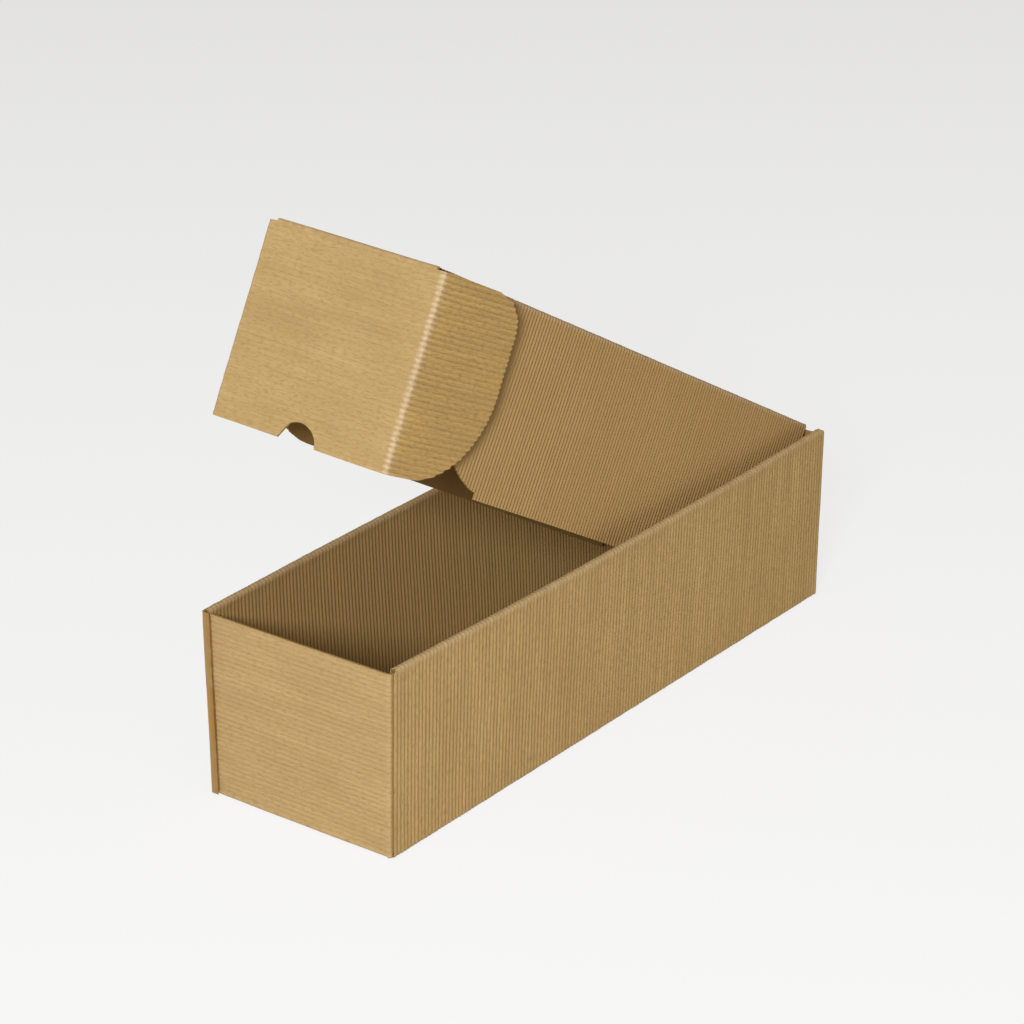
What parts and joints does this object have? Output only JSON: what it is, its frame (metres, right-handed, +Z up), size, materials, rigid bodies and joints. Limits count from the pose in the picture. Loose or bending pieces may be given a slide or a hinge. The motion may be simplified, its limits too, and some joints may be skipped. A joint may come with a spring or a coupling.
{
  "type": "wine box",
  "caption": "Long folded box of open-flute kraft board for one bottle: tray with rolled double side walls, hinged lid with side cheeks, tuck flap with ears and thumb notch.",
  "frame": {"origin": "centre of the base's underside, on the surface that the box stands on", "axes": "+Z up, +Y along the box towards the end that carries the lid, +X across the box"},
  "size_m": [0.109, 0.3526, 0.2662],
  "materials": {
    "kraft_board": "matte"
  },
  "bodies": {
    "tray": {"tray": "kraft_board"},
    "lid": {"lid": "kraft_board"},
    "tuck_flap": {"tuck_flap": "kraft_board"}
  },
  "joints": [
    {"name": "lid_hinge", "type": "hinge", "parent": "tray", "child": "lid", "pos_m": [0, 0.1756, 0.0929], "axis": [-1, 0, 0], "range_deg": [-29.6, 150]},
    {"name": "tuck_hinge", "type": "hinge", "parent": "lid", "child": "tuck_flap", "pos_m": [0, -0.12829, 0.26553], "axis": [-1, 0, 0], "range_deg": [-10, 94]}
  ]
}
